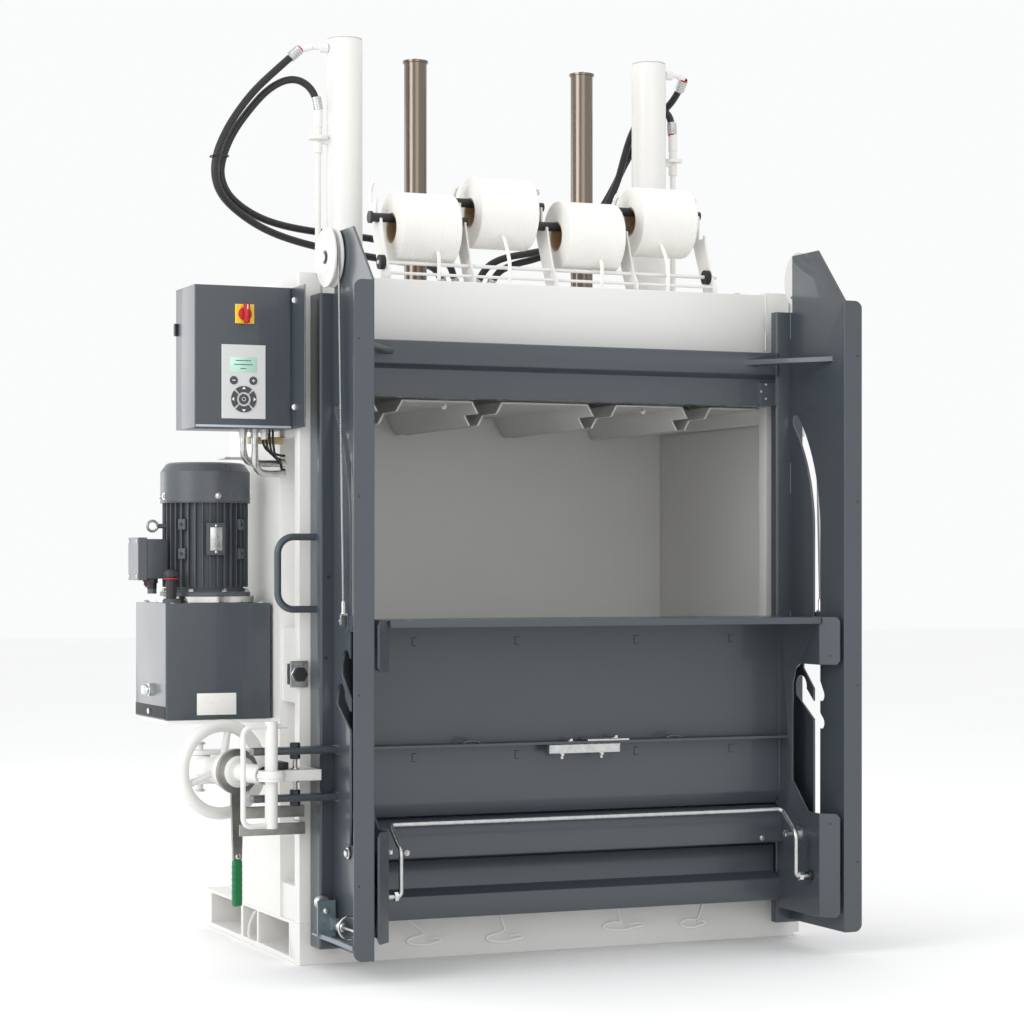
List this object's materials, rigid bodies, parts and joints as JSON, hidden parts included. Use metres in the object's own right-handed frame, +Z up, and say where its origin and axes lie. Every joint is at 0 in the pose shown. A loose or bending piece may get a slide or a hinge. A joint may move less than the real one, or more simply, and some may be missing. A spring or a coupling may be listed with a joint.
{
  "type": "recycling baler",
  "caption": "Vertical recycling baler with a hydraulic press ram, side-hinged door with a lifting flap, swing-arm screw lock, side power unit and strap rack.",
  "frame": {"origin": "on the floor, midway between the base's ends and under the middle of the chamber's depth", "axes": "+X to the right seen from the front, +Y to the back, +Z up; the door faces -Y"},
  "size_m": [1.779, 1.212, 2.437],
  "materials": {
    "door_grey": "satin powder coat",
    "frame_white": "satin powder coat",
    "hose_rubber": "matt",
    "column_steel": "ground",
    "rod_chrome": "polished",
    "zinc_steel": "zinc plated",
    "wire_rope": "stranded",
    "weight_iron": "bare",
    "lever_steel": "forged and zinc plated",
    "grip_green": "smooth",
    "panel_grey": "membrane",
    "switch_yellow": "gloss",
    "switch_red": "gloss",
    "motor_grey": "satin",
    "motor_alloy": "painted",
    "black_plastic": "moulded",
    "disc_rubber": "matt",
    "strap_white": "woven tape"
  },
  "bodies": {
    "frame": {"base_frame": "frame_white", "side_frame_left": "frame_white", "side_frame_right": "frame_white", "rear_wall": "frame_white", "crosshead": "frame_white", "press_cylinders": "frame_white", "pipework": "frame_white", "hose_left_top": "hose_rubber", "hose_left_return": "hose_rubber", "hose_right_top": "hose_rubber", "hose_right_return": "hose_rubber", "cabinet_box": "door_grey", "cabinet_cover": "door_grey", "key_panel": "panel_grey", "switch_plate": "switch_yellow", "oil_tank": "door_grey", "motor_housing": "motor_alloy", "motor_cowl": "motor_grey", "terminal_box": "motor_grey", "filler_cap": "black_plastic", "lock_bracket": "frame_white", "door_sensor": "zinc_steel", "strap_rack": "frame_white", "rack_discs": "disc_rubber", "roll_spindles": "black_plastic"},
    "press_ram": {"platen": "frame_white", "guide_columns": "column_steel", "piston_rods": "rod_chrome"},
    "door": {"door_left_post": "door_grey", "door_right_post": "door_grey", "door_top_beam": "door_grey", "door_lower_wall": "door_grey", "guide_left": "door_grey", "guide_right": "door_grey", "door_bolts": "zinc_steel", "door_handle": "door_grey", "foot_bracket": "door_grey", "flap_ropes": "wire_rope", "weight_ropes": "wire_rope"},
    "flap": {"flap_shell": "door_grey", "flap_beam": "door_grey", "clamp_bar": "zinc_steel", "rope_links": "door_grey"},
    "release_bar": {"release_bar": "zinc_steel"},
    "pulley_left": {"pulley_left": "frame_white"},
    "pulley_right": {"pulley_right": "frame_white"},
    "counterweight_left": {"counterweight_left": "weight_iron"},
    "counterweight_right": {"counterweight_right": "weight_iron"},
    "lock_arm": {"lock_arm": "frame_white"},
    "handwheel": {"handwheel": "frame_white"},
    "lock_spindle": {"lock_spindle": "frame_white"},
    "clamp_lever": {"lock_lever": "lever_steel", "lever_grip": "grip_green"},
    "strap_roll_1": {"strap_roll_1": "strap_white"},
    "strap_roll_2": {"strap_roll_2": "strap_white"},
    "strap_roll_3": {"strap_roll_3": "strap_white"},
    "strap_roll_4": {"strap_roll_4": "strap_white"},
    "main_switch": {"main_switch": "switch_red"},
    "foot_roller": {"foot_roller": "zinc_steel"},
    "ring_plunger": {"ring_plunger": "zinc_steel"}
  },
  "joints": [
    {"name": "ram_stroke", "type": "slide", "parent": "frame", "child": "press_ram", "axis": [0, 0, -1], "range_m": [0, 0.62]},
    {"name": "door_hinge", "type": "hinge", "parent": "frame", "child": "door", "pos_m": [0.71, -0.42, 0.875], "axis": [0, 0, 1], "range_deg": [0, 110]},
    {"name": "flap_lift", "type": "slide", "parent": "door", "child": "flap", "axis": [0, 0, 1], "range_m": [0, 0.56], "deforming": ["flap_ropes"]},
    {"name": "release_bar_tilt", "type": "hinge", "parent": "flap", "child": "release_bar", "pos_m": [0, -0.686, 0.2], "axis": [1, 0, 0], "range_deg": [0, 25]},
    {"name": "lock_arm_swing", "type": "hinge", "parent": "frame", "child": "lock_arm", "pos_m": [-0.9118, -0.1716, 0.494], "axis": [0, 0, -1], "range_deg": [0, 80]},
    {"name": "handwheel_turn", "type": "hinge", "parent": "lock_arm", "child": "handwheel", "pos_m": [-0.88848, -0.28523, 0.494], "axis": [-0.2011, 0.9796, 0], "range_deg": [0, 1800]},
    {"name": "spindle_travel", "type": "slide", "parent": "lock_arm", "child": "lock_spindle", "axis": [0.2011, -0.9796, 0], "range_m": [0, 0.0302]},
    {"name": "lever_swing", "type": "hinge", "parent": "lock_arm", "child": "clamp_lever", "pos_m": [-0.87219, -0.36457, 0.494], "axis": [-0.2011, 0.9796, 0], "range_deg": [-15, 75]},
    {"name": "switch_turn", "type": "hinge", "parent": "frame", "child": "main_switch", "pos_m": [-0.86, -0.4, 1.6455], "axis": [0, 1, 0], "range_deg": [0, 90]},
    {"name": "foot_roller_spin", "type": "hinge", "parent": "door", "child": "foot_roller", "pos_m": [-0.692, -0.5, 0.17], "axis": [0, 1, 0], "continuous": true},
    {"name": "plunger_pull", "type": "slide", "parent": "door", "child": "ring_plunger", "axis": [0, -1, 0], "range_m": [0, 0.015], "stiffness_N_per_m": 900, "springref_m": -0.004},
    {"name": "pulley_left_turn", "type": "hinge", "parent": "door", "child": "pulley_left", "pos_m": [-0.672, -0.5, 1.784], "axis": [1, 0, 0], "range_deg": [-490, 2]},
    {"name": "counterweight_left_travel", "type": "slide", "parent": "door", "child": "counterweight_left", "axis": [0, 0, 1], "range_m": [-0.5605, 0.0005], "deforming": ["weight_ropes"]},
    {"name": "pulley_right_turn", "type": "hinge", "parent": "door", "child": "pulley_right", "pos_m": [0.672, -0.5, 1.784], "axis": [1, 0, 0], "range_deg": [-490, 2]},
    {"name": "counterweight_right_travel", "type": "slide", "parent": "door", "child": "counterweight_right", "axis": [0, 0, 1], "range_m": [-0.5605, 0.0005]},
    {"name": "strap_roll_1_spin", "type": "hinge", "parent": "frame", "child": "strap_roll_1", "pos_m": [-0.3525, -0.3, 1.893], "axis": [1, 0, 0], "continuous": true},
    {"name": "strap_roll_2_spin", "type": "hinge", "parent": "frame", "child": "strap_roll_2", "pos_m": [-0.1175, -0.262, 1.949], "axis": [1, 0, 0], "continuous": true},
    {"name": "strap_roll_3_spin", "type": "hinge", "parent": "frame", "child": "strap_roll_3", "pos_m": [0.1175, -0.3, 1.893], "axis": [1, 0, 0], "continuous": true},
    {"name": "strap_roll_4_spin", "type": "hinge", "parent": "frame", "child": "strap_roll_4", "pos_m": [0.3525, -0.262, 1.949], "axis": [1, 0, 0], "continuous": true}
  ],
  "couplings": [
    {"joint": "spindle_travel", "follows": "handwheel_turn", "m_per_rad": 0.0009549},
    {"joint": "pulley_left_turn", "follows": "flap_lift", "rad_per_m": -15.152},
    {"joint": "counterweight_left_travel", "follows": "flap_lift", "ratio": -1},
    {"joint": "pulley_right_turn", "follows": "flap_lift", "rad_per_m": -15.152},
    {"joint": "counterweight_right_travel", "follows": "flap_lift", "ratio": -1}
  ]
}
